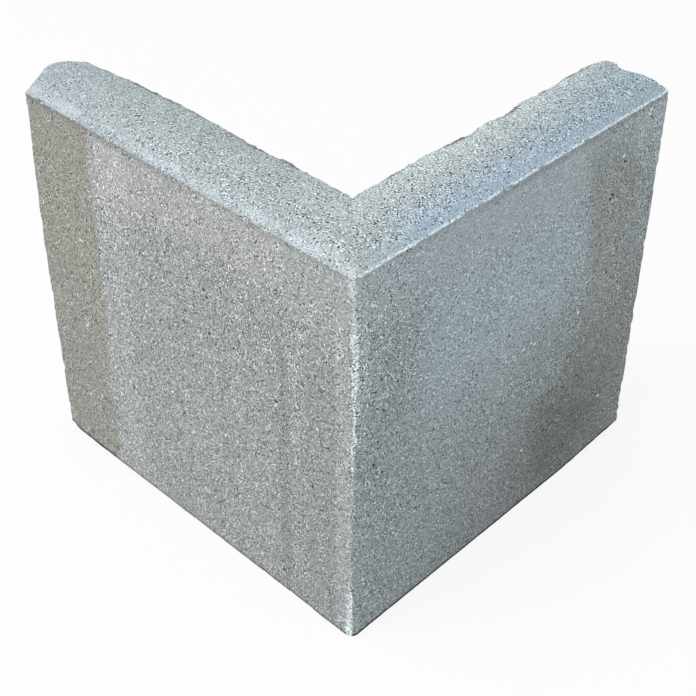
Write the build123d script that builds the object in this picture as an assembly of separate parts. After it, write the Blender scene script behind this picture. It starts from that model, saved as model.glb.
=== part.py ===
from build123d import *
import os

# Outer corner kerb stone of cast concrete, in one piece. Two equal arms meet at a right
# angle. The origin is on the underside where the centre lines of the arms cross, and
# the arms run along +X and +Y. All sizes are in millimetres.

# Body
ARM_LENGTH = 250.0       # outer corner to the shoulder of either end
THICKNESS = 50.0         # outer face to inner face
HEIGHT = 250.0           # underside to the crest of the top
CROWN_RISE = 6.0         # crest above the long edges of the top
CORNER_RADIUS = 6.0      # blunted upright edge of the outer corner

# Joint with the next kerb: a tongue on the +Y end, a groove in the +X end
TONGUE_WIDTH = 20.0      # across the root
TONGUE_DEPTH = 7.0       # out of the shoulder
FLANK_LEAN = 3.0         # how far each flank leans in between root and tip
TONGUE_RADIUS = 3.0      # both edges of the tip
JOINT_GAP = 1.0          # room round a tongue that stands in a groove

# Outer faces stand at minus half a thickness, because the centre lines cross at zero
OUTER_FACE = -THICKNESS / 2
END_FACE = OUTER_FACE + ARM_LENGTH


def key_outline(root_width, depth):
    """Tapered key that points along +Y from a shoulder on the X axis."""
    tip_width = root_width - 2 * FLANK_LEAN
    corners = [
        (-root_width / 2, 0),
        (root_width / 2, 0),
        (tip_width / 2, depth),
        (-tip_width / 2, depth),
    ]
    key = make_face(Polyline(*corners, close=True))
    tips = key.vertices().group_by(Axis.Y)[-1]
    return fillet(tips, min(TONGUE_RADIUS, tip_width / 3, depth / 2))


def plan_outline():
    """The stone seen from above: two arms, the tongue, the groove, the blunted corner."""
    arm = Rectangle(ARM_LENGTH, THICKNESS, align=(Align.MIN, Align.MIN))
    arm_x = Pos(OUTER_FACE, OUTER_FACE) * arm
    arm_y = Pos(-OUTER_FACE, OUTER_FACE) * Rot(0, 0, 90) * arm
    outline = arm_x + arm_y

    outer_corner = outline.vertices().sort_by(Axis((0, 0, 0), (1, 1, 0)))[0]
    outline = fillet(outer_corner, min(CORNER_RADIUS, THICKNESS / 2))

    tongue = Pos(0, END_FACE) * key_outline(TONGUE_WIDTH, TONGUE_DEPTH)
    groove = key_outline(TONGUE_WIDTH + 2 * JOINT_GAP, TONGUE_DEPTH + JOINT_GAP)
    groove = Pos(END_FACE, 0) * Rot(0, 0, 90) * groove
    return outline + tongue - groove


def arm_section():
    """Section across an arm: upright faces under a crowned top. X points inwards."""
    edge_height = HEIGHT - CROWN_RISE
    sides = Polyline(
        (THICKNESS, edge_height),
        (THICKNESS, 0),
        (0, 0),
        (0, edge_height),
    )
    crown = ThreePointArc(
        (0, edge_height),
        (THICKNESS / 2, HEIGHT),
        (THICKNESS, edge_height),
    )
    return make_face([sides, crown])


def crowned_arms():
    """The section carried along both arms, with a mitre at the corner."""
    groove_end = (END_FACE, OUTER_FACE, 0)
    corner = (OUTER_FACE, OUTER_FACE, 0)
    tongue_tip = (OUTER_FACE, END_FACE + TONGUE_DEPTH, 0)
    path = Polyline(groove_end, corner, tongue_tip)
    start = Plane(origin=groove_end, x_dir=(0, 1, 0), z_dir=(1, 0, 0))
    return sweep(start * arm_section(), path=path, transition=Transition.RIGHT)


def kerb_stone():
    """What the plan and the crowned section have in common."""
    plan = extrude(plan_outline(), HEIGHT)
    stone = plan & crowned_arms()
    stone.label = "kerb_stone"
    return stone


os.makedirs("parts", exist_ok=True)
stone = kerb_stone()
export_step(stone, "parts/kerb_stone.step")
print("kerb_stone volume, litres:", round(stone.volume / 1e6, 3))
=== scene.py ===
# %% [markdown]
# # A concrete kerb stone for an outer corner
#
# The real object is one block of cast concrete, as long on one side of the corner as on the
# other. Its top is crowned so that rain runs off, one end has a tongue and the other end
# the groove that takes the tongue of the next stone. The solid made in CAD gives every
# size here. This lesson dresses it: it builds the same stone again as a fine net of
# squares, wears its arrises, and gives it the look of dry-pressed grey concrete.

# %% Load the solid made in CAD
import math
import random

import bmesh
import bpy
from mathutils import Euler, Matrix, Vector, noise


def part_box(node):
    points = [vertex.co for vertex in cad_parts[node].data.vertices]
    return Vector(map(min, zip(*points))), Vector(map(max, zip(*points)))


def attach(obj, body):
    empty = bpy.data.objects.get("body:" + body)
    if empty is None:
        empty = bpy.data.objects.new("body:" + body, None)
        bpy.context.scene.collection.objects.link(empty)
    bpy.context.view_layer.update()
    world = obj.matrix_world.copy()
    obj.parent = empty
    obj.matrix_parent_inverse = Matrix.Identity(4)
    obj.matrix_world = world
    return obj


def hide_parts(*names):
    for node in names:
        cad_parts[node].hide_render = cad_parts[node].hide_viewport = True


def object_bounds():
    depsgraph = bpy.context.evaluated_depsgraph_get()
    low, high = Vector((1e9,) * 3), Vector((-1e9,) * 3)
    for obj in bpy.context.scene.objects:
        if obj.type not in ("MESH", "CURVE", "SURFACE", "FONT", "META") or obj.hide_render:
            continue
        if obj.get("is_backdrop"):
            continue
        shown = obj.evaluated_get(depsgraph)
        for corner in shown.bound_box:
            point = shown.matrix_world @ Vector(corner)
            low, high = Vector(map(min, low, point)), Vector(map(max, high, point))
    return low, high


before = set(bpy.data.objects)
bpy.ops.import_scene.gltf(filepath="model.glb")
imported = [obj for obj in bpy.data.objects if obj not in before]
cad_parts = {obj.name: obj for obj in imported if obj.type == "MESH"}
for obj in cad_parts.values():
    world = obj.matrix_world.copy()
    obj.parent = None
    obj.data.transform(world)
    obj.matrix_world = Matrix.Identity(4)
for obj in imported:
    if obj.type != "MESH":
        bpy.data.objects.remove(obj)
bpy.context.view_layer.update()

cad_low, cad_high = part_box("kerb_stone")
MM = 0.001
print("CAD box, mm:", [round(c / MM, 1) for c in (*cad_low, *cad_high)])

# %% [markdown]
# ## The camera
#
# The photograph was taken from above the outer corner, a little more than two sizes away,
# so the upright edges lean towards each other. A camera can be placed by its position, the
# way it faces, how far it looks down, and how far it is tipped. The picture was cropped
# after it was taken, which is what a small lens shift does, so the shift is used for that
# and not a turn of the camera, which would bend the upright edges the wrong way.

# %% Place the camera
CAMERA_AT = Vector((-0.4007, -0.3838, 0.6206))
FACES = math.radians(42.91)        # turned from +X towards +Y
LOOKS_DOWN = math.radians(36.98)
TIPPED = math.radians(0.92)

camera_data = bpy.data.cameras.new("camera")
camera_data.lens = 73.86
camera_data.shift_x = -0.0313
camera_data.shift_y = -0.0583
camera = bpy.data.objects.new("camera", camera_data)
camera.location = CAMERA_AT
turned = Euler((math.pi / 2 - LOOKS_DOWN, 0, FACES - math.pi / 2)).to_matrix()
camera.rotation_euler = (turned @ Matrix.Rotation(TIPPED, 3, "Z")).to_euler()
bpy.context.scene.collection.objects.link(camera)
bpy.context.scene.camera = camera
print("camera stands", round((CAMERA_AT - (cad_low + cad_high) / 2).length, 3), "m away")

# %% [markdown]
# ## Floor, daylight and one soft lamp
#
# The stone stands on a plain pale floor. Most of the light is even daylight from the
# world. One wide lamp high on the left gives the top, the left face and the right face
# their three steps of tone. To the camera the floor and the world are nearly white, by
# the Light Path node, so the background is pale without more light on the stone. The
# floor still keeps the stone's own shadow.

# %% Make the world, the floor and the lamps
DAYLIGHT = 0.60
FLOOR_PALE = 0.88
FLOOR_GLOW = 0.86                  # share of plain white in the floor as the camera sees it


def add_node(tree, kind, at=(0, 0), **settings):
    """A node of this kind at this place, with its settings."""
    node = tree.nodes.new(kind)
    node.location = at
    for name, value in settings.items():
        setattr(node, name, value)
    return node


def seen_ray(tree):
    """One for a ray that shows the background: from the camera, mirrored or let through."""
    path = add_node(tree, "ShaderNodeLightPath")
    first = add_node(tree, "ShaderNodeMath", operation="MAXIMUM")
    both = add_node(tree, "ShaderNodeMath", operation="MAXIMUM")
    tree.links.new(path.outputs["Is Camera Ray"], first.inputs[0])
    tree.links.new(path.outputs["Is Glossy Ray"], first.inputs[1])
    tree.links.new(first.outputs[0], both.inputs[0])
    tree.links.new(path.outputs["Is Transmission Ray"], both.inputs[1])
    return both.outputs[0]


world = bpy.data.worlds.new("daylight")
world.use_nodes = True
bpy.context.scene.world = world
sky = world.node_tree
background = sky.nodes["Background"]
background.inputs["Color"].default_value = (1, 1, 1, 1)
strength = add_node(sky, "ShaderNodeMapRange")
strength.inputs["To Min"].default_value = DAYLIGHT
strength.inputs["To Max"].default_value = 1.0
sky.links.new(seen_ray(sky), strength.inputs["Value"])
sky.links.new(strength.outputs["Result"], background.inputs["Strength"])

bm = bmesh.new()
bmesh.ops.create_grid(bm, x_segments=1, y_segments=1, size=4)
floor_mesh = bpy.data.meshes.new("floor")
bm.to_mesh(floor_mesh)
bm.free()
floor = bpy.data.objects.new("floor", floor_mesh)
bpy.context.scene.collection.objects.link(floor)
floor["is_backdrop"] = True

floor_look = bpy.data.materials.new("pale floor")
floor_look.use_nodes = True
tree = floor_look.node_tree
plain = tree.nodes["Principled BSDF"]
plain.inputs["Base Color"].default_value = (FLOOR_PALE, FLOOR_PALE, FLOOR_PALE, 1)
plain.inputs["Roughness"].default_value = 0.9
plain.inputs["Specular IOR Level"].default_value = 0.0
white = add_node(tree, "ShaderNodeEmission")
mixed = add_node(tree, "ShaderNodeMixShader")
share = add_node(tree, "ShaderNodeMath", operation="MULTIPLY")
share.inputs[1].default_value = FLOOR_GLOW
tree.links.new(seen_ray(tree), share.inputs[0])
tree.links.new(share.outputs[0], mixed.inputs["Fac"])
tree.links.new(plain.outputs[0], mixed.inputs[1])
tree.links.new(white.outputs[0], mixed.inputs[2])
tree.links.new(mixed.outputs[0], tree.nodes["Material Output"].inputs["Surface"])
floor_mesh.materials.append(floor_look)


def soft_lamp(name, at, size, power):
    """A square lamp at this place, which faces the middle of the stone."""
    data = bpy.data.lights.new(name, "AREA")
    data.size = size
    data.energy = power
    lamp = bpy.data.objects.new(name, data)
    lamp.location = at
    lamp.rotation_euler = (Vector((0.05, 0.05, 0.12)) - Vector(at)).to_track_quat("-Z", "Y").to_euler()
    bpy.context.scene.collection.objects.link(lamp)
    return lamp


soft_lamp("main lamp", (-0.95, 0.35, 2.0), 1.4, 27.0)
soft_lamp("low lamp", (0.5, -1.9, 0.9), 1.4, 2.8)

# %% [markdown]
# ## The stone seen from above
#
# The stone has the same outline at every height, so its plan is drawn first. One vertex at
# the outer corner is extruded step by step along the mitre, the line where the two arms
# meet. That chain of edges is then extruded along one arm. Where a feature needs detail
# the steps are one millimetre, and elsewhere about two, because worn arrises are small.
# The second arm is a mirror image of the first in the mitre.

# %% Draw the plan of both arms
OUTER = cad_low.x                  # both outer faces
SHOULDER = cad_high.x              # both ends, without the tongue
THICK = 0.050
INNER = OUTER + THICK
GROOVE_DEEP = 0.008
ACROSS = [1.0] * 4 + [2.2] * 5 + [2.5] * 8 + [2.2] * 5 + [1.0] * 4
NEAR_CORNER = 8                    # steps of one millimetre beside the mitre
LONG_STEPS = 116


def in_range(value, low, high, slack=1e-6):
    return low - slack <= value <= high + slack


def new_verts(grown):
    return [g for g in grown["geom"] if isinstance(g, bmesh.types.BMVert)]


def new_edges(grown):
    return [g for g in grown["geom"] if isinstance(g, bmesh.types.BMEdge)]


bm = bmesh.new()
tip = bmesh.ops.create_vert(bm, co=(OUTER, OUTER, 0))["vert"]
for step in ACROSS:
    tip = bmesh.ops.extrude_vert_indiv(bm, verts=tip)["verts"]
    bmesh.ops.translate(bm, verts=tip, vec=(step * MM, step * MM, 0))

line = bm.edges[:]
for _ in range(NEAR_CORNER):
    grown = bmesh.ops.extrude_edge_only(bm, edges=line)
    bmesh.ops.translate(bm, verts=new_verts(grown), vec=(0, MM, 0))
    line = new_edges(grown)

arm_stops = SHOULDER - GROOVE_DEEP
grown = bmesh.ops.extrude_edge_only(bm, edges=line)
bmesh.ops.scale(bm, verts=new_verts(grown), vec=(1, 0, 1))
bmesh.ops.translate(bm, verts=new_verts(grown), vec=(0, arm_stops, 0))
long_edges = [e for e in bm.edges if e.calc_length() > 0.1]
bmesh.ops.subdivide_edges(bm, edges=long_edges, cuts=LONG_STEPS - 1, use_grid_fill=True)

eighth = Matrix.Rotation(math.radians(45), 3, "Z")
bmesh.ops.rotate(bm, verts=bm.verts[:], matrix=eighth)
arm = bm.verts[:] + bm.edges[:] + bm.faces[:]
bmesh.ops.mirror(bm, geom=arm, merge_dist=1e-5, axis="X")
bmesh.ops.rotate(bm, verts=bm.verts[:], matrix=eighth.transposed())
print("plan of the two arms:", len(bm.faces), "faces")

# %% [markdown]
# ## Tongue and groove
#
# The stones are cast so that a tongue on one end stands in a groove in the next. Both are
# drawn in the plan by extruding edges step by step and moving them closer together or
# further apart after each step, which gives the leaning flanks and the rounded tip. The
# groove is the gap between two such lips, so nothing has to be cut out.

# %% Draw the tongue and the groove
TONGUE = [(1.3, 9.44), (2.6, 8.89), (3.9, 8.33), (5.18, 7.78), (6.5, 6.67), (7.0, 5.02)]
GROOVE = [(8.0, 5.92), (7.47, 7.63), (6.05, 8.73), (4.5, 9.30), (3.0, 9.87), (1.5, 10.44), (0.0, 11.0)]
STRIP = 0.010                      # half of the strip that the tongue grows from


def edges_on(line_axis, at, low, high):
    """The edges that lie on one straight line of the plan, between two places on it."""
    other = 1 - line_axis
    return [
        e for e in bm.edges
        if all(abs(v.co[line_axis] - at) < 1e-6 for v in e.verts)
        and all(in_range(v.co[other], low, high) for v in e.verts)
    ]


def refit(verts, axis, old, new):
    """Slides vertices so that the span old, a pair of places, becomes the span new."""
    stretch = (new[1] - new[0]) / (old[1] - old[0])
    for v in verts:
        v.co[axis] = new[0] + (v.co[axis] - old[0]) * stretch


line = edges_on(1, arm_stops, OUTER, INNER)
for _ in range(8):
    grown = bmesh.ops.extrude_edge_only(bm, edges=line)
    bmesh.ops.translate(bm, verts=new_verts(grown), vec=(0, MM, 0))
    line = new_edges(grown)

line = edges_on(1, SHOULDER, -STRIP, STRIP)
half = STRIP
for out, new_half in TONGUE:
    grown = bmesh.ops.extrude_edge_only(bm, edges=line)
    ahead = new_verts(grown)
    for v in ahead:
        v.co.y = SHOULDER + out * MM
    refit(ahead, 0, (-half, half), (-new_half * MM, new_half * MM))
    half = new_half * MM
    line = new_edges(grown)

for side in (-1, 1):
    face = side * INNER
    low, high = sorted((face, side * 0.005))
    line = edges_on(0, arm_stops, low, high)
    edge_at = side * 0.005
    for number, (deep, new_half) in enumerate(GROOVE):
        if number > 0:
            grown = bmesh.ops.extrude_edge_only(bm, edges=line)
            ahead = new_verts(grown)
            line = new_edges(grown)
        else:
            ahead = list({v for e in line for v in e.verts})
        for v in ahead:
            v.co.x = SHOULDER - deep * MM
        refit(ahead, 1, (face, edge_at), (face, side * new_half * MM))
        edge_at = side * new_half * MM

bmesh.ops.recalc_face_normals(bm, faces=bm.faces[:])
print("whole plan:", len(bm.faces), "faces, tongue tip at", round(max(v.co.y for v in bm.verts) / MM, 1))

# %% [markdown]
# ## From the plan to a block
#
# The plan is pulled up in one go, and the upright edges are cut into steps, short ones at
# the bottom and at the top where the arrises are, longer ones between. The crown is a flat
# arc across each arm. How high it stands depends only on how far a point is from the
# centre line of its arm, and that distance is the smaller of x and y on both arms. So
# the mitre comes out by itself, and the top rows are simply lifted onto the arc.

# %% Pull the plan up and crown the top
RISE = 0.006
CREASE = cad_high.z - RISE
ARC = ((THICK / 2) ** 2 + RISE ** 2) / (2 * RISE)
LOW_ROWS = 0.004
ROWS = 116


def crown(x, y):
    """Height of the crowned top over this point of the plan."""
    away = min(x, y, INNER)
    return cad_high.z - ARC + math.sqrt(ARC ** 2 - away ** 2)


def pull_up(faces, height):
    """Extrudes these faces upwards and gives back the faces at the new height."""
    geom = list(faces) + list({e for f in faces for e in f.edges})
    grown = bmesh.ops.extrude_face_region(bm, geom=geom)
    bmesh.ops.translate(bm, verts=new_verts(grown), vec=(0, 0, height))
    return [g for g in grown["geom"] if isinstance(g, bmesh.types.BMFace)]


top = pull_up(bm.faces[:], LOW_ROWS)
top = pull_up(top, CREASE - 2 * LOW_ROWS)
top = pull_up(top, LOW_ROWS)
upright = [e for e in bm.edges if abs(e.verts[0].co.z - e.verts[1].co.z) > MM]
short = [e for e in upright if e.calc_length() < 0.01]
tall = [e for e in upright if e.calc_length() > 0.01]
bmesh.ops.subdivide_edges(bm, edges=short, cuts=3, use_grid_fill=True)
bmesh.ops.subdivide_edges(bm, edges=tall, cuts=ROWS - 1, use_grid_fill=True)

LIFT_FROM = 0.200
for v in bm.verts:
    share = max(0.0, (v.co.z - LIFT_FROM) / (CREASE - LIFT_FROM))
    v.co.z += share * (crown(v.co.x, v.co.y) - CREASE)
bmesh.ops.recalc_face_normals(bm, faces=bm.faces[:])
print("block:", len(bm.faces), "faces, open edges:", sum(not e.is_manifold for e in bm.edges))
print("lowest, highest:", [[round(f(v.co[i] for v in bm.verts) / MM, 2) for i in range(3)] for f in (min, max)])

# %% [markdown]
# ## The ends as they are on this stone
#
# No two castings have the same ends. On this one the tongue is worn down on its outer
# side and keeps a small burr, the outer lip of the groove is rubbed to a slope, and both
# inner corners are knocked off near the top. Such damage is sculpted: the outline of each
# end is written as a few points of a curve, and the rows of vertices behind the end are
# stretched or pressed together until they meet it. It fades out further down.

# %% Reshape the ends near the top
END_ZONE = 0.200                   # only vertices further out than this are moved
TONGUE_WORN = [
    (-25, 224.2), (-17, 226.0), (-12.5, 227.5), (-9, 229.4), (-6.8, 231.4), (-5.6, 232), (0.6, 232),
    (2.3, 231.4), (6, 230.8), (11, 227.2), (16, 224.6), (20, 222.5), (25, 219),
]
GROOVE_WORN = [
    (-25, 225), (-20, 225), (-13.4, 225), (-10.4, 224.2), (-4.5, 220.8), (-0.7, 219),
    (4.1, 218.2), (7, 220.4), (9.9, 224.2), (15, 225), (18, 225), (21.3, 222.6), (25, 215),
]


def between(points, at):
    """The height of the line through these points at one place along it."""
    for (start, low), (stop, high) in zip(points, points[1:]):
        if at <= stop:
            return low + (high - low) * max(0.0, at - start) / (stop - start)
    return points[-1][1]


def fade(value, low, high):
    """Nothing below low, all of it above high, with a smooth change between."""
    share = min(1.0, max(0.0, (value - low) / (high - low)))
    return share * share * (3 - 2 * share)


def plain_end(profile, sign):
    """The outline of an unworn end as points across the arm, in millimetres."""
    shoulder = SHOULDER / MM
    half = [(width, shoulder + sign * out) for out, width in profile]
    half = sorted(half) + [(11.001 if sign < 0 else 10.0, shoulder), (25, shoulder)]
    return [(-a, b) for a, b in reversed(half)] + half


PLAIN_TONGUE = plain_end(TONGUE, 1)
PLAIN_GROOVE = plain_end(GROOVE[:-1], -1)


def wear_end(v, along, plain, worn):
    """Moves one vertex with the end of its arm, which runs along this axis."""
    across = v.co[1 - along] / MM
    if v.co[along] < END_ZONE or v.co[1 - along] > INNER + MM:
        return
    old = between(plain, across)
    share = 0.2 + 0.8 * fade(v.co.z, 0.195, 0.240)
    new = old + (between(worn, across) - old) * share
    stretch = (new - END_ZONE / MM) / (old - END_ZONE / MM)
    v.co[along] = END_ZONE + (v.co[along] - END_ZONE) * stretch


for v in bm.verts:
    wear_end(v, 1, PLAIN_TONGUE, TONGUE_WORN)
    wear_end(v, 0, PLAIN_GROOVE, GROOVE_WORN)

# %% Lean and bow the two ends a little
TONGUE_BOW = [(0, 1.0), (60, 1.7), (110, 2.3), (140, 2.8), (170, 2.0), (200, 0.8), (225, 0), (250, 0)]
GROOVE_LEAN = [(0, -1.8), (60, -1.2), (120, -0.5), (200, 0), (250, 0)]
for v in bm.verts:
    height = v.co.z / MM
    if v.co.y > END_ZONE:
        near_face = 1 - fade(v.co.x, -0.020, 0.0)
        v.co.y += between(TONGUE_BOW, height) * MM * near_face * fade(v.co.y, END_ZONE, SHOULDER)
        v.co.y = min(v.co.y, cad_high.y)
    if v.co.x > END_ZONE:
        v.co.x += between(GROOVE_LEAN, height) * MM * fade(v.co.x, END_ZONE, SHOULDER)
print("tongue now reaches", round(max(v.co.y for v in bm.verts) / MM, 2), "mm")

# %% [markdown]
# ## Arrises
#
# An arris is the sharp line where two faces meet. On the outer corner it is blunted by
# handling, so every vertex that lies outside a small circle is pulled in to it, and the
# radius of the circle changes with height. The back arris of the arm with the tongue lost
# a long flake near its end. Along both back arrises the top was left a little high in one
# place and broke away in another, so the vertices there are raised and lowered by a curve
# for each arm. All arrises are rubbed: their vertices are smoothed a few times, and noise
# decides which of them are smoothed more often than others, so the wear comes and goes
# along the line as it does on stone that was stacked and carried.

# %% Blunt the outer corner
CORNER_WEAR = [(0, 4.4), (10, 2.8), (60, 2.4), (120, 3.0), (190, 4.2), (225, 5.2), (250, 6.0)]
for v in bm.verts:
    radius = between(CORNER_WEAR, v.co.z / MM) * MM
    long_wave = noise.noise(Vector((0, 0, v.co.z * 90)))
    short_wave = noise.noise(Vector((5, 0, v.co.z * 330)))
    radius *= 1 + 0.22 * long_wave + 0.12 * short_wave
    centre = Vector((OUTER + radius, OUTER + radius))
    away = Vector((min(0.0, v.co.x - centre.x), min(0.0, v.co.y - centre.y)))
    if away.x < 0 and away.y < 0 and away.length > radius:
        away = away * (radius / away.length)
        v.co.x, v.co.y = centre.x + away.x, centre.y + away.y

# %% Flake the back arris near the tongue
FLAKE = [(150, 0), (165, 0.2), (176, 0.8), (190, 2.0), (201, 5.4), (212, 6.0), (225, 8.5)]
STEEP = Vector((0.80, 0, 0.60))
for v in bm.verts:
    cut = between(FLAKE, v.co.y / MM) * MM
    if cut > 0 and v.co.z > 0.2 and v.co.x > 0:
        edge = Vector((INNER - cut, v.co.y, crown(INNER - cut, 1)))
        rough = 0.0012 * noise.noise(v.co * 160)
        proud = (v.co - edge).dot(STEEP) - rough
        if proud > 0:
            v.co -= STEEP * proud

# %% Raise and lower both back arrises
BACK_BY_TONGUE = [
    (25, -0.2), (45, 0.3), (56, 0), (68, 0.6), (80, 0), (90, -0.6), (104, -0.3), (112, 1.0),
    (122, 0.5), (140, 1.1), (155, 1.1), (168, 0.3), (182, 0.7), (203, 1.1), (223, 0.9),
]
BACK_BY_GROOVE = [
    (25, -0.6), (36, -0.2), (48, 0.2), (66, 0.2), (78, 0.4), (90, -0.2), (105, -0.4), (110, -1.5),
    (116, -1.2), (120, 0), (130, 0.1), (133, -1.5), (148, -1.6), (152, 0.8), (164, 1.0),
    (168, 0.4), (176, 0.2), (184, -0.4), (193, 1.1), (204, 0.4), (222, 0.8),
]
for v in bm.verts:
    table = BACK_BY_TONGUE if v.co.y > v.co.x else BACK_BY_GROOVE
    reach = fade(min(v.co.x, v.co.y), 0.008, INNER - 2 * MM) * fade(v.co.z, 0.225, CREASE - MM)
    crumbs = 0.8 * noise.noise(v.co * 400) * fade(min(v.co.x, v.co.y), INNER - 5 * MM, INNER - MM)
    v.co.z += (between(table, max(v.co.x, v.co.y) / MM) + crumbs) * reach * MM

# %% Break the arris at the foot
FOOT_BY_TONGUE = [
    (0, 0), (10, 0.6), (40, 0.9), (72, 1.2), (104, 1.5), (140, 1.9), (176, 2.1), (208, 2.4),
    (216, 2.8), (220, 3.6), (225, 6.2),
]
FOOT_BY_GROOVE = [(165, 0), (175, 0.4), (186, 1.2), (202, 2.4), (218, 3.2), (225, 3.8)]


def foot_cut(v):
    """Height in millimetres to which the outer arris at the foot is broken away here."""
    table = FOOT_BY_TONGUE if v.co.y > v.co.x else FOOT_BY_GROOVE
    cut = between(table, max(v.co.x, v.co.y) / MM)
    cut *= 1 - fade(min(v.co.x, v.co.y), OUTER + 6 * MM, OUTER + 10 * MM)
    return cut + 0.3 * noise.noise(v.co * 150) if cut > 0 else 0.0


for v in bm.verts:
    across = 0 if v.co.y > v.co.x else 1
    proud = foot_cut(v) * MM - v.co.z - (v.co[across] - OUTER)
    if proud > 0:
        v.co[across] += proud / 2
        v.co.z += proud / 2

# %% Rub all arrises
before_rubbing = {v.index: v.co.copy() for v in bm.verts}
bm.normal_update()
line = {v for e in bm.edges if e.calc_face_angle(0) > 0.42 for v in e.verts}
beside = {e.other_vert(v) for v in line for e in v.link_edges}
near = list(line | beside)
for turn in range(4):
    level = 0.10 + 0.22 * turn
    rubbed = [v for v in near if noise.noise(v.co * 70) + 0.6 * noise.noise(v.co * 260) > level]
    rubbed = [v for v in rubbed if v.co.z > 7 * MM or min(v.co.x, v.co.y) > OUTER + 7 * MM]
    bmesh.ops.smooth_vert(
        bm, verts=rubbed, factor=0.4, use_axis_x=True, use_axis_y=True, use_axis_z=True
    )
print("arris vertices:", len(line), "with their neighbours:", len(near))

# %% [markdown]
# ## The skin
#
# Dry-pressed concrete is not flat when light grazes it. Under the crease the mould leaves
# a shallow hollow, the arrises have small bites, and the whole skin is slightly uneven.
# Every vertex is moved along its normal, always inwards, by noise of two sizes, and the
# vertices on an arris by bites as well, which are deepest at the back of the top.

# %% Roughen the skin
bm.normal_update()
arris = line | beside
for v in bm.verts:
    deep = 0.10 + 0.10 * noise.noise(v.co * 45) + 0.07 * noise.noise(v.co * 420)
    if v in line:
        bite = noise.noise(v.co * 190) + 0.5 * noise.noise(v.co * 520)
        at_back = min(v.co.x, v.co.y) > INNER - 2 * MM and v.co.z > CREASE - 2 * MM
        deepest = 0.3 if v.co.z < 7 * MM else 1.4
        deep += max(0.0, bite) * 3.0 if at_back else max(0.0, bite - 0.15) * deepest
    outside = min(v.co.x, v.co.y) < OUTER + 1.5 * MM
    if outside:
        deep += 0.40 * max(0.0, 1 - abs(v.co.z - CREASE + 2.6 * MM) / (2.0 * MM))
    moved = v.co - v.normal * max(0.0, deep) * MM
    moved.z = max(0.0, moved.z)
    v.co = moved
print("block:", len(bm.faces), "faces, open edges:", sum(not e.is_manifold for e in bm.edges))

# %% [markdown]
# ## Where the arrises are pale
#
# Rubbed concrete loses its grey cement film and shows paler sand. A material can't see
# where a stone was rubbed, so the share of wear is written on the vertices as an
# attribute named worn, which the material reads. The outer corner is the palest. Its pale
# stripe wanders, and it is widest on the right side in the upper half.

# %% Write the wear on the vertices
STRIPE_LEFT = [(0, 4.6), (32, 4.4), (48, 3.0), (100, 2.6), (160, 1.6), (190, 2.2), (212, 2.8), (226, 5.0)]
STRIPE_RIGHT = [
    (0, 0.5), (60, 0.3), (95, 0.6), (120, 1.2), (140, 2.3), (155, 2.9), (172, 3.2), (192, 3.4),
    (214, 3.6), (226, 2.8), (250, 2.0),
]
STRIPE_LIGHT = [
    (0, 0.86), (28, 0.82), (42, 0.50), (52, 0.34), (85, 0.34), (108, 0.42), (125, 0.66), (150, 0.80),
    (172, 0.84), (184, 1.0), (205, 0.94), (216, 0.62), (250, 0.60),
]


def stripe(v):
    """How much of the pale corner stripe reaches this vertex."""
    height = v.co.z / MM
    from_corner = (max(v.co.x, v.co.y) - OUTER) / MM
    table = STRIPE_RIGHT if v.co.x > v.co.y else STRIPE_LEFT
    width = between(table, height)
    width *= 1 + 0.45 * noise.noise(Vector((0, 7, v.co.z * 60))) + 0.4 * noise.noise(v.co * 240)
    return (1 - fade(from_corner, 0.6 * width, 1.4 * width)) * between(STRIPE_LIGHT, height)


worn = bm.verts.layers.float.new("worn")
foot_dirt_and_shade = bm.verts.layers.float.new("foot_dirt_and_shade")
for v in bm.verts:
    lost = (v.co - before_rubbing[v.index]).length / MM
    rubbed = min(1.0, max(0.0, lost - 0.3)) * fade(v.co.z, 2 * MM, 6 * MM) if v in arris else 0.0
    v[worn] = max(0.7 * rubbed, stripe(v))
    # The second attribute marks the lowest millimetres above the broken foot. The material paints a dark line there,
    # partly dirt and partly painted shadow where the stone meets the floor.
    v[foot_dirt_and_shade] = 1 - fade(v.co.z / MM - foot_cut(v), 0.8, 2.8)

# %% [markdown]
# ## Pits and specks
#
# A few air bubbles opened as small pits, and a few pale stones lie at the surface. For a
# pit the nearest square is inset and pushed in, twice, which makes a small round-bottomed
# hole. For a speck it is inset only. An attribute named speck marks both, below nought for
# a pit, which the material paints dark as shade inside the hole, and above it for a pale
# stone. The ones on the two outer faces are where this stone has them. The hidden faces
# get some at random places, always the same ones.

# %% Sink the pits and set the specks
LEFT_PITS = [(83, 184), (81, 180), (154, 76), (5, 96), (31, 140)]
RIGHT_PITS = [(186, 141), (180, 195), (182, 197), (-10, 121), (190, 214)]
LEFT_SPECKS = [(189, 163), (193, 100), (200, 44), (30, 137), (1, 139), (46, 15)]
RIGHT_SPECKS = [(210, 239), (207, 237), (187, 218), (162, 125), (121, 125), (120, 46), (195, 41)]
HIDDEN_SPOTS = 70

speck = bm.verts.layers.float.new("speck")


def nearest_face(at, faces):
    return min(faces, key=lambda f: (f.calc_center_median() - at).length_squared)


def sink(face, deep, mark):
    """Insets a square and marks its new middle, and pushes it in where it is a pit."""
    for share in (0.05, 0.18):
        side = math.sqrt(face.calc_area())
        bmesh.ops.inset_individual(bm, faces=[face], thickness=share * side, depth=-deep)
        for v in face.verts:
            v[speck] = mark


outer_faces = [
    f for f in bm.faces
    if min(f.calc_center_median().x, f.calc_center_median().y) < OUTER + MM and f.calc_center_median().z < CREASE
]
for across, pits, specks in ((1, LEFT_PITS, LEFT_SPECKS), (0, RIGHT_PITS, RIGHT_SPECKS)):
    for places, deep, mark in ((pits, 0.0005, -1.0), (specks, 0.0, 1.0)):
        for along, height in places:
            at = Vector((OUTER, OUTER, height * MM))
            at[across] = along * MM
            sink(nearest_face(at, outer_faces), deep, mark)

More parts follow.
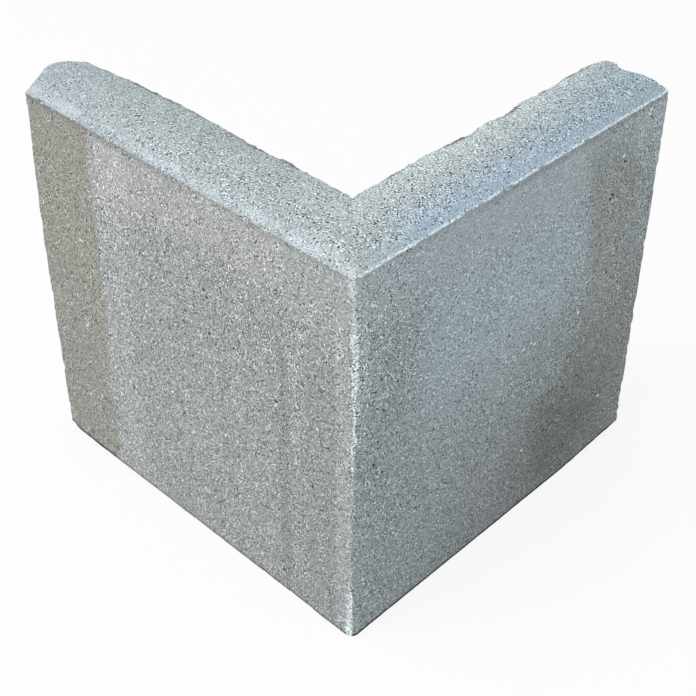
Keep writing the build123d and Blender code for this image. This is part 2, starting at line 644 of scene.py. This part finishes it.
chance = random.Random(4)
hidden = [
    f for f in bm.faces
    if min(f.calc_center_median().x, f.calc_center_median().y) > OUTER + 4 * MM
    and 0.004 < f.calc_center_median().z < CREASE and abs(f.normal.z) < 0.2 and 2e-6 < f.calc_area() < 8e-6
]
for face in chance.sample(hidden, HIDDEN_SPOTS):
    pit = chance.random() < 0.6
    sink(face, 0.0004 if pit else 0.0, -1.0 if pit else 0.9)
print("hidden faces to choose from:", len(hidden), "open edges:", sum(not e.is_manifold for e in bm.edges))

# %% [markdown]
# ## Concrete
#
# The look is made from effects that two finishes share: the faces that lay against the
# mould, and the top, which was struck off and stayed coarser. Each effect is a node group
# with named inputs, so that both finishes use it with values of their own. Sand grain is
# cells of random tone about a millimetre wide. Worn arris turns its attribute into a
# broken pale mask. Cloudy cement lets tone and hue drift a little from place to place.
# Pits and specks lightens what the other attribute marks as a pale stone and paints shade
# into what it marks as a pit. The place group measures where a point lies on the stone, in
# metres: along both outer faces as if they were unrolled, how far in from the outer face,
# and how high. All read Object coordinates, so nothing slides when the stone is seen from
# elsewhere.

# %% Helpers for node groups


def new_group(name, inputs, outputs):
    """An empty shader group with these named sockets, and its two end nodes."""
    group = bpy.data.node_groups.new(name, "ShaderNodeTree")
    for side, sockets in (("INPUT", inputs), ("OUTPUT", outputs)):
        for socket_name, kind in sockets:
            group.interface.new_socket(socket_name, in_out=side, socket_type="NodeSocket" + kind)
    return group, group.nodes.new("NodeGroupInput"), group.nodes.new("NodeGroupOutput")


def wire(tree, source, node, name):
    """Links a socket to a named or numbered input, or sets the input to a plain value."""
    if isinstance(source, bpy.types.NodeSocket):
        tree.links.new(source, node.inputs[name])
    elif isinstance(source, tuple) and len(source) < len(node.inputs[name].default_value):
        node.inputs[name].default_value = (*source, 1)
    else:
        node.inputs[name].default_value = source


def maths(tree, operation, *values, clamp=False):
    """A Math node with these values or sockets, and its result."""
    node = add_node(tree, "ShaderNodeMath", operation=operation, use_clamp=clamp)
    for number, value in enumerate(values):
        wire(tree, value, node, number)
    return node.outputs[0]


def scaled(tree, vector, by):
    """A vector made longer or shorter by a value or a socket."""
    node = add_node(tree, "ShaderNodeVectorMath", operation="SCALE")
    wire(tree, vector, node, 0)
    wire(tree, by, node, "Scale")
    return node.outputs[0]


def mottle(tree, vector, scale, detail=2.0, rough=0.5):
    """Noise at this scale, as a value about one half."""
    node = add_node(tree, "ShaderNodeTexNoise")
    for name, value in (("Vector", vector), ("Scale", scale), ("Detail", detail), ("Roughness", rough)):
        wire(tree, value, node, name)
    return node.outputs["Fac"]


def wavering(tree, value, vector, scale, by):
    """A value that noise pushes up and down by at most half of this much."""
    push = maths(tree, "SUBTRACT", mottle(tree, vector, scale, 3.0), 0.5)
    return maths(tree, "MULTIPLY_ADD", push, by, value)


def rises(tree, value, low, high):
    """Nought below low and one above high, with a smooth change between."""
    node = add_node(tree, "ShaderNodeMapRange", interpolation_type="SMOOTHSTEP")
    wire(tree, value, node, "Value")
    wire(tree, low, node, "From Min")
    wire(tree, high, node, "From Max")
    return node.outputs["Result"]


def band(tree, value, low, high, soft):
    """One between two places, with soft borders."""
    enters = rises(tree, value, low - soft / 2, low + soft / 2)
    leaves = rises(tree, value, high + soft / 2, high - soft / 2)
    return maths(tree, "MULTIPLY", enters, leaves)


def both(tree, *masks):
    """Masks multiplied together."""
    result = masks[0]
    for mask in masks[1:]:
        result = maths(tree, "MULTIPLY", result, mask)
    return result


def stained(tree, base, mask, colour, strength=1.0):
    """A base colour that turns towards another where the mask is one."""
    node = add_node(tree, "ShaderNodeMix", data_type="RGBA")
    wire(tree, maths(tree, "MULTIPLY", mask, strength), node, 0)
    wire(tree, base, node, 6)
    wire(tree, colour, node, 7)
    return node.outputs[2]


def toned(tree, colour, factor):
    """A colour made lighter or darker by a socket."""
    node = add_node(tree, "ShaderNodeMix", data_type="RGBA", blend_type="MULTIPLY")
    grey = add_node(tree, "ShaderNodeCombineColor")
    for channel in range(3):
        wire(tree, factor, grey, channel)
    wire(tree, 1.0, node, 0)
    wire(tree, colour, node, 6)
    wire(tree, grey.outputs[0], node, 7)
    return node.outputs[2]


def use_group(tree, group, **values):
    """A group node with its named inputs linked or set."""
    node = add_node(tree, "ShaderNodeGroup", node_tree=group)
    for name, value in values.items():
        wire(tree, value, node, name)
    return node

# %% [markdown]
# ### Sand grain
#
# Voronoi cells stand for the grains, and each has a random tone. The cells lie on a grid
# that a flat face would cut along one layer, so the coordinates are turned first. If the
# tone of the second nearest grain is taken away, light and dark end up side by side and no
# large blotches come about, which is how evenly mixed sand looks. The sum is raised to a
# power, so that light grains stand out as much as dark ones. A cement film hides the sand
# here and there, which a slow noise does to the contrast. The height follows the grains,
# round and uneven.

# %% Make the sand grain group
sand, given, result = new_group(
    "sand grain",
    [("Vector", "Vector"), ("Size", "Float"), ("Contrast", "Float"), ("Power", "Float"), ("Film", "Float")],
    [("Tone", "Float"), ("Height", "Float")],
)
turned = add_node(sand, "ShaderNodeMapping")
turned.inputs["Rotation"].default_value = (0.61, 0.93, 0.37)
wire(sand, given.outputs["Vector"], turned, "Vector")
fine = scaled(sand, turned.outputs[0], maths(sand, "DIVIDE", 1.0, given.outputs["Size"]))
grains = []
for feature in ("F1", "F2"):
    cells = add_node(sand, "ShaderNodeTexVoronoi", feature=feature)
    wire(sand, fine, cells, "Vector")
    wire(sand, 1.0, cells, "Scale")
    split = add_node(sand, "ShaderNodeSeparateColor")
    wire(sand, cells.outputs["Color"], split, 0)
    signed = maths(sand, "MULTIPLY_ADD", split.outputs[0], 2.0, -1.0)
    grains.append((signed, cells.outputs["Distance"]))
mixed = maths(sand, "MULTIPLY_ADD", grains[1][0], -0.9, grains[0][0])
filmed = rises(sand, mottle(sand, fine, 0.20, 2.0, 0.6), 0.38, 0.62)
bare = maths(sand, "SUBTRACT", 1.0, given.outputs["Film"])
contrast = maths(sand, "MULTIPLY_ADD", filmed, given.outputs["Film"], bare)
contrast = maths(sand, "MULTIPLY", contrast, given.outputs["Contrast"])
swing = maths(sand, "MAXIMUM", maths(sand, "MULTIPLY_ADD", mixed, contrast, 1.0), 0.1)
wire(sand, maths(sand, "POWER", swing, given.outputs["Power"]), result, "Tone")
rounded = maths(sand, "SUBTRACT", 1.0, grains[0][1])
uneven = maths(sand, "MULTIPLY_ADD", grains[0][0], 0.3, 0.7)
wire(sand, maths(sand, "MULTIPLY", rounded, uneven), result, "Height")

# %% Make the worn arris group
rub, given, result = new_group(
    "worn arris", [("Vector", "Vector"), ("Worn", "Float"), ("Pale", "Float")], [("Mask", "Float")]
)
flaking = maths(rub, "SUBTRACT", mottle(rub, given.outputs["Vector"], 260.0, 3.0, 0.7), 0.5)
ragged = maths(rub, "MULTIPLY_ADD", flaking, 1.1, given.outputs["Worn"])
mask = maths(rub, "MULTIPLY", rises(rub, ragged, 0.32, 0.80), given.outputs["Pale"], clamp=True)
wire(rub, mask, result, "Mask")

# %% Make the cloudy cement group
HUE_DRIFT = (0.052, 0.040, 0.056)
HUE_LEVEL = tuple(1 - drift / 2 for drift in HUE_DRIFT)
cloudy, given, result = new_group(
    "cloudy cement", [("Vector", "Vector"), ("Color", "Color"), ("Amount", "Float")], [("Color", "Color")]
)
hues = add_node(cloudy, "ShaderNodeTexNoise")
for name, value in (("Vector", given.outputs["Vector"]), ("Scale", 120.0), ("Detail", 4.0), ("Roughness", 0.65)):
    wire(cloudy, value, hues, name)
tint = add_node(cloudy, "ShaderNodeVectorMath", operation="MULTIPLY_ADD")
for number, value in enumerate((hues.outputs["Color"], HUE_DRIFT, HUE_LEVEL)):
    wire(cloudy, value, tint, number)
drift = maths(cloudy, "SUBTRACT", mottle(cloudy, given.outputs["Vector"], 75.0, 4.0, 0.6), 0.5)
drift = maths(cloudy, "MULTIPLY_ADD", drift, given.outputs["Amount"], 0.95)
blend = add_node(cloudy, "ShaderNodeMix", data_type="RGBA", blend_type="MULTIPLY")
for number, value in ((0, 1.0), (6, given.outputs["Color"]), (7, tint.outputs[0])):
    wire(cloudy, value, blend, number)
wire(cloudy, toned(cloudy, blend.outputs[2], drift), result, "Color")

# %% Make the pits and specks group
spotted, given, result = new_group("pits and specks", [("Color", "Color"), ("Speck", "Float")], [("Color", "Color")])
pale_stone = rises(spotted, given.outputs["Speck"], 0.15, 0.7)
pit_shade = rises(spotted, given.outputs["Speck"], -0.15, -0.7)
dotted = stained(spotted, given.outputs["Color"], pale_stone, (0.80, 0.82, 0.80), 0.9)
# Painted shade inside the pits.
dotted = stained(spotted, dotted, pit_shade, (0.06, 0.065, 0.07), 0.9)
wire(spotted, dotted, result, "Color")

# %% Make the place group
place, given, result = new_group(
    "place on the stone", [("Vector", "Vector")],
    [("Along", "Float"), ("Inwards", "Float"), ("Height", "Float")],
)
xyz = add_node(place, "ShaderNodeSeparateXYZ")
wire(place, given.outputs["Vector"], xyz, 0)
x, y, z = xyz.outputs
wire(place, maths(place, "SUBTRACT", x, y), result, "Along")
wire(place, maths(place, "SUBTRACT", maths(place, "MINIMUM", x, y), OUTER), result, "Inwards")
wire(place, z, result, "Height")

# %% [markdown]
# ### What both finishes have in common
#
# A function starts each material: it makes the two coordinates that every pattern needs.
# Another one ends it: over the tone of the casting go the pale arrises and the grain, and
# the grain also drives roughness and a fine bump. Between the two, each finish gets its
# own stains.

# %% Start and end a concrete finish
PALE_SAND = (0.70, 0.77, 0.79)


def start_finish(name):
    material = bpy.data.materials.new(name)
    material.use_nodes = True
    tree = material.node_tree
    spot = add_node(tree, "ShaderNodeTexCoord").outputs["Object"]
    return material, tree, spot, use_group(tree, place, Vector=spot).outputs


def end_finish(tree, spot, base, grain, contrast, power, film, bump, pale):
    """Adds pale arrises, sand grain, roughness and bump to the tone of the casting."""
    shader = tree.nodes["Principled BSDF"]
    wear = add_node(tree, "ShaderNodeAttribute", attribute_name="worn").outputs["Fac"]
    spots = add_node(tree, "ShaderNodeAttribute", attribute_name="speck").outputs["Fac"]
    edge = use_group(tree, rub, Vector=spot, Worn=wear, Pale=pale).outputs["Mask"]
    base = stained(tree, base, edge, PALE_SAND)
    grit = use_group(tree, sand, Vector=spot, Size=grain, Contrast=contrast, Power=power, Film=film)
    base = use_group(tree, cloudy, Vector=spot, Color=base, Amount=0.10).outputs["Color"]
    base = toned(tree, base, grit.outputs["Tone"])
    base = use_group(tree, spotted, Color=base, Speck=spots).outputs["Color"]
    wire(tree, base, shader, "Base Color")
    wire(tree, maths(tree, "MULTIPLY_ADD", grit.outputs["Height"], 0.1, 0.85), shader, "Roughness")
    shader.inputs["Specular IOR Level"].default_value = 0.25
    relief = add_node(tree, "ShaderNodeBump")
    relief.inputs["Strength"].default_value = 1.0
    relief.inputs["Distance"].default_value = bump
    wire(tree, grit.outputs["Height"], relief, "Height")
    wire(tree, relief.outputs["Normal"], shader, "Normal")

# %% [markdown]
# ### The faces from the mould
#
# Concrete dries unevenly, and each stain here has its place on the stone. The arm with
# the tongue ends in a damp olive strip with a pale, dry strip beside it. A pale frame runs
# under the crease, and a thin dark line stands near the corner where two parts of the
# mould met. The other arm is a bluish grey that is painted cool shade for its side, and it
# has a bluish bloom and an olive strip near its end. It gets darker low down and towards
# its end. A band of painted shade lies under the crease, and a dark line along the foot is
# partly dirt and partly painted shadow where the stone meets the floor. Borders waver with
# noise, because water has no ruler. Where a film of fine cement covers the sand, the grain
# gets less contrast.

# %% Finish the faces
mould_face, tree, spot, here = start_finish("mould_face_concrete")
along = wavering(tree, here["Along"], spot, 30.0, 0.010)
high = wavering(tree, here["Height"], spot, 30.0, 0.014)
leaning = maths(tree, "MULTIPLY_ADD", maths(tree, "SUBTRACT", here["Height"], 0.12), -0.028, along)

GREY = (0.366, 0.386, 0.376)
COOL_SHADE_GREY = (0.310, 0.356, 0.368)
# Painted cool shade: the arm with the groove gets a bluish copy of the grey, for the sky light on its side.
base = stained(tree, GREY, rises(tree, along, -0.004, 0.010), COOL_SHADE_GREY)

frame_mask = both(tree, rises(tree, high, 0.198, 0.219), band(tree, along, -0.196, -0.045, 0.012))
base = stained(tree, base, frame_mask, (0.438, 0.450, 0.447))
near_corner = both(tree, band(tree, along, -0.045, 0.0, 0.012), rises(tree, high, 0.10, 0.22))
base = stained(tree, base, near_corner, (0.420, 0.446, 0.450), 0.8)
dry = both(tree, band(tree, leaning, -0.199, -0.173, 0.008), rises(tree, here["Height"], -0.1, 0.0))
base = stained(tree, base, dry, (0.412, 0.435, 0.428))
corner_of_frame = both(tree, band(tree, leaning, -0.196, -0.160, 0.022), rises(tree, high, 0.165, 0.215))
base = stained(tree, base, corner_of_frame, (0.440, 0.450, 0.448))
damp_end = rises(tree, leaning, -0.197, -0.202)
olive = stained(tree, (0.345, 0.342, 0.305), rises(tree, high, 0.23, 0.08), (0.328, 0.340, 0.305))
base = stained(tree, base, damp_end, olive)
straight = wavering(tree, here["Along"], spot, 12.0, 0.003)
mould_line = both(tree, band(tree, straight, -0.0545, -0.0465, 0.005), rises(tree, high, 0.235, 0.12))
base = stained(tree, base, mould_line, (0.294, 0.322, 0.328))
low_corner = both(tree, band(tree, along, -0.036, -0.008, 0.010), rises(tree, high, 0.225, 0.170))
base = stained(tree, base, low_corner, (0.330, 0.354, 0.356), 0.9)
shoulder = band(tree, straight, -0.0120, -0.0002, 0.003)
base = stained(tree, base, shoulder, (0.415, 0.440, 0.442), 0.8)

near_right = both(tree, band(tree, along, 0.0, 0.026, 0.010), rises(tree, high, 0.13, 0.19))
base = stained(tree, base, near_right, (0.364, 0.410, 0.422), 0.85)
beside_stripe = both(tree, band(tree, straight, 0.0, 0.0100, 0.0040), rises(tree, high, 0.130, 0.185))
base = stained(tree, base, beside_stripe, (0.440, 0.486, 0.500), 0.75)
bloom = both(tree, band(tree, along, 0.048, 0.186, 0.045), rises(tree, high, 0.080, 0.170))
base = stained(tree, base, bloom, (0.382, 0.455, 0.498))
top_of_right = both(tree, rises(tree, high, 0.190, 0.230), rises(tree, along, -0.002, 0.010))
base = stained(tree, base, top_of_right, (0.405, 0.467, 0.498), 0.85)
bent = maths(tree, "MULTIPLY_ADD", rises(tree, here["Height"], 0.16, 0.25), 0.016, along)
olive_strip = both(tree, band(tree, bent, 0.192, 0.236, 0.012), rises(tree, high, 0.256, 0.212))
base = stained(tree, base, olive_strip, (0.298, 0.332, 0.326), 0.9)
low_end = both(tree, rises(tree, high, 0.165, 0.06), rises(tree, along, 0.150, 0.190))
base = stained(tree, base, low_end, (0.284, 0.312, 0.306), 0.75)
last_bit = both(tree, rises(tree, high, 0.160, 0.110), rises(tree, along, 0.226, 0.240))
base = stained(tree, base, last_bit, (0.250, 0.275, 0.268), 0.75)


def soft_patch(at, reach, waver, colour, strength, base):
    """A change of tone about one place, dense in the middle and thin at its wavering border."""
    away = add_node(tree, "ShaderNodeVectorMath", operation="DISTANCE")
    wire(tree, spot, away, 0)
    away.inputs[1].default_value = at
    distance = wavering(tree, away.outputs["Value"], spot, 38.0, waver)
    return stained(tree, base, rises(tree, distance, reach, 0.1 * reach), colour, strength)


# The face of the arm with the groove gets darker low down and towards its end. The last patch is a paler one high on
# the face of the arm with the tongue.
base = soft_patch((0.110, OUTER, 0.020), 0.110, 0.05, (0.265, 0.290, 0.292), 0.75, base)
base = soft_patch((0.160, OUTER, 0.040), 0.075, 0.06, (0.170, 0.190, 0.182), 0.95, base)
base = soft_patch((0.185, OUTER, 0.085), 0.050, 0.05, (0.225, 0.245, 0.235), 0.6, base)
base = soft_patch((0.138, OUTER, 0.112), 0.045, 0.02, (0.270, 0.305, 0.310), 0.5, base)
base = soft_patch((OUTER, 0.150, 0.224), 0.024, 0.02, (0.520, 0.530, 0.530), 0.75, base)

# Painted shade: a dark band just under the crease, where the edge of the crown shades the face. It is stronger on
# the far part of each arm.
ragged_height = wavering(tree, here["Height"], spot, 260.0, 0.0022)
shade_under_crease = band(tree, ragged_height, CREASE - 0.0040, CREASE + 0.002, 0.0036)
shade_strength_by_arm = maths(tree, "MAXIMUM", rises(tree, along, -0.105, -0.175), rises(tree, along, 0.06, 0.13))
crease_shade_mask = both(tree, shade_under_crease, maths(tree, "MULTIPLY_ADD", shade_strength_by_arm, 0.22, 0.20))
base = stained(tree, base, crease_shade_mask, (0.20, 0.22, 0.22))
# A near-black line along the foot: partly dirt and partly painted shadow where the stone meets the floor. It is
# stronger on the arm with the groove and at the end of the arm with the tongue.
dirt_and_shade_at_foot = add_node(tree, "ShaderNodeAttribute", attribute_name="foot_dirt_and_shade").outputs["Fac"]
foot_shadow_and_dirt = rises(tree, wavering(tree, dirt_and_shade_at_foot, spot, 260.0, 0.6), 0.25, 0.65)
foot_shadow_weight = maths(tree, "MAXIMUM", rises(tree, along, -0.195, -0.220), rises(tree, along, -0.012, 0.002))
foot_shadow_and_dirt = both(tree, foot_shadow_and_dirt, maths(tree, "MULTIPLY_ADD", foot_shadow_weight, 0.45, 0.45))
base = stained(tree, base, foot_shadow_and_dirt, (0.03, 0.033, 0.033))
calmer = maths(tree, "MULTIPLY_ADD", damp_end, -0.10, 0.77)
calmer = maths(tree, "MULTIPLY_ADD", rises(tree, high, 0.204, 0.226), -0.18, calmer)
calmer = maths(tree, "MULTIPLY_ADD", band(tree, along, 0.045, 0.175, 0.030), -0.11, calmer)
calmer = maths(tree, "MULTIPLY_ADD", bloom, -0.15, calmer)
calmer = maths(tree, "MULTIPLY_ADD", olive_strip, -0.12, calmer)
calmer = maths(tree, "MULTIPLY_ADD", band(tree, along, -0.034, 0.004, 0.008), -0.10, calmer)
end_finish(tree, spot, base, 0.0012, calmer, 1.3, 0.35, 0.0004, 1.0)

# %% [markdown]
# ### The struck top
#
# The top was levelled by hand, so it is coarser and its grain has a deeper relief. Along
# the front edge the trowel pressed the sand down. On the arm with the tongue that leaves a
# smooth pale margin. On the other arm the margin is smooth as well, its front slope is
# painted in bluish shade with a thin painted highlight along the edge, and its back slope
# has painted light on it. The back arris is dark in stretches, partly chipped and partly
# painted shade.

# %% Finish the top
struck_top, tree, spot, here = start_finish("struck_top_concrete")
along = wavering(tree, here["Along"], spot, 30.0, 0.020)
inwards = wavering(tree, here["Inwards"], spot, 60.0, 0.005)
right_arm = rises(tree, here["Along"], -0.002, 0.004)
left_arm = rises(tree, here["Along"], 0.004, -0.002)

base = stained(tree, (0.424, 0.484, 0.498), rises(tree, inwards, 0.045, 0.010), (0.436, 0.490, 0.506), 0.6)
base = stained(tree, base, rises(tree, along, -0.150, -0.235), (0.420, 0.484, 0.520), 0.9)
# Painted light: the back slope of the crown is lighter, mostly on the arm with the groove, where it faces the main
# lamp.
lit_back_slope = both(tree, rises(tree, inwards, 0.015, 0.047), rises(tree, here["Along"], -0.10, 0.07))
base = stained(tree, base, lit_back_slope, (0.550, 0.622, 0.640))
# Painted cool shade on the front slope of the crown of the arm with the groove, which faces away from the main lamp.
cool_shaded_front = both(tree, rises(tree, here["Along"], 0.0, 0.055), rises(tree, inwards, 0.028, 0.002))
base = stained(tree, base, cool_shaded_front, (0.388, 0.490, 0.590))
far_end = both(tree, rises(tree, along, 0.10, 0.24), rises(tree, inwards, 0.048, 0.034))
base = stained(tree, base, far_end, (0.355, 0.456, 0.518), 0.85)

patches = rises(tree, mottle(tree, spot, 55.0, 3.0, 0.6), 0.30, 0.60)
margin = both(tree, left_arm, patches, rises(tree, inwards, 0.0120, 0.0030))
base = stained(tree, base, margin, (0.478, 0.542, 0.590), 0.8)
rim = wavering(tree, here["Inwards"], spot, 90.0, 0.006)
mitre_front = both(tree, band(tree, along, -0.045, -0.004, 0.010), rises(tree, inwards, 0.014, 0.004))
base = stained(tree, base, mitre_front, (0.520, 0.584, 0.610), 0.7)
bright_rim = both(tree, left_arm, patches, band(tree, rim, 0.0016, 0.0060, 0.0026))
base = stained(tree, base, bright_rim, (0.570, 0.638, 0.672), 0.85)
edge_line = wavering(tree, here["Inwards"], spot, 200.0, 0.001)
# Painted highlight: a thin bright line along the front edge of the crown of the arm with the groove.
edge_highlight = both(tree, right_arm, rises(tree, edge_line, 0.0020, 0.0008))
base = stained(tree, base, edge_highlight, (0.62, 0.73, 0.78), 0.95)
stretches = rises(tree, mottle(tree, spot, 26.0, 2.0), 0.42, 0.58)
# Dark stretches along the back arris: partly chips and partly painted shade where the arris turns away from the
# light.
back_arris_chips_and_shade = both(tree, stretches, rises(tree, wavering(tree, here["Inwards"], spot, 170.0, 0.009), 0.0450, 0.0480))
base = stained(tree, base, back_arris_chips_and_shade, (0.10, 0.11, 0.11), 0.85)

pressed = maths(tree, "MAXIMUM", margin, both(tree, right_arm, rises(tree, inwards, 0.010, 0.003)))
trowelled = maths(tree, "MULTIPLY_ADD", right_arm, 0.06, 0.76)
trowelled = maths(tree, "MULTIPLY_ADD", pressed, -0.36, trowelled)
trowelled = maths(tree, "MULTIPLY_ADD", rises(tree, along, -0.10, -0.22), -0.16, trowelled)
end_finish(tree, spot, base, 0.0012, trowelled, 1.0, 0.2, 0.0006, 0.45)

# %% [markdown]
# ## The finished piece
#
# The net of squares becomes a mesh object at the origin. Faces on the crown take the
# coarser finish, and an edge stays sharp where the faces on its two sides differ much in
# direction. The piece rides on the stone's body and stands for the plain solid.

# %% Hand the stone over
bm.normal_update()
for f in bm.faces:
    f.smooth = True
    f.material_index = int(f.calc_center_median().z > CREASE - MM and f.normal.z > 0.7)
for e in bm.edges:
    e.smooth = e.calc_face_angle(0) < math.radians(38)
stone_mesh = bpy.data.meshes.new("worn_kerb_stone")
bm.to_mesh(stone_mesh)
bm.free()
stone = bpy.data.objects.new("worn_kerb_stone", stone_mesh)
bpy.context.scene.collection.objects.link(stone)
stone_mesh.materials.append(mould_face)
stone_mesh.materials.append(struck_top)
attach(stone, "root")
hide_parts("kerb_stone")
print("triangles:", sum(len(p.vertices) - 2 for p in stone_mesh.polygons))

# %% Print the visual box and finish
bpy.context.scene.view_settings.view_transform = "Standard"
bpy.context.view_layer.update()
low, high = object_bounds()
print("visual box, mm:", [round(c / MM, 1) for c in (*low, *high)])
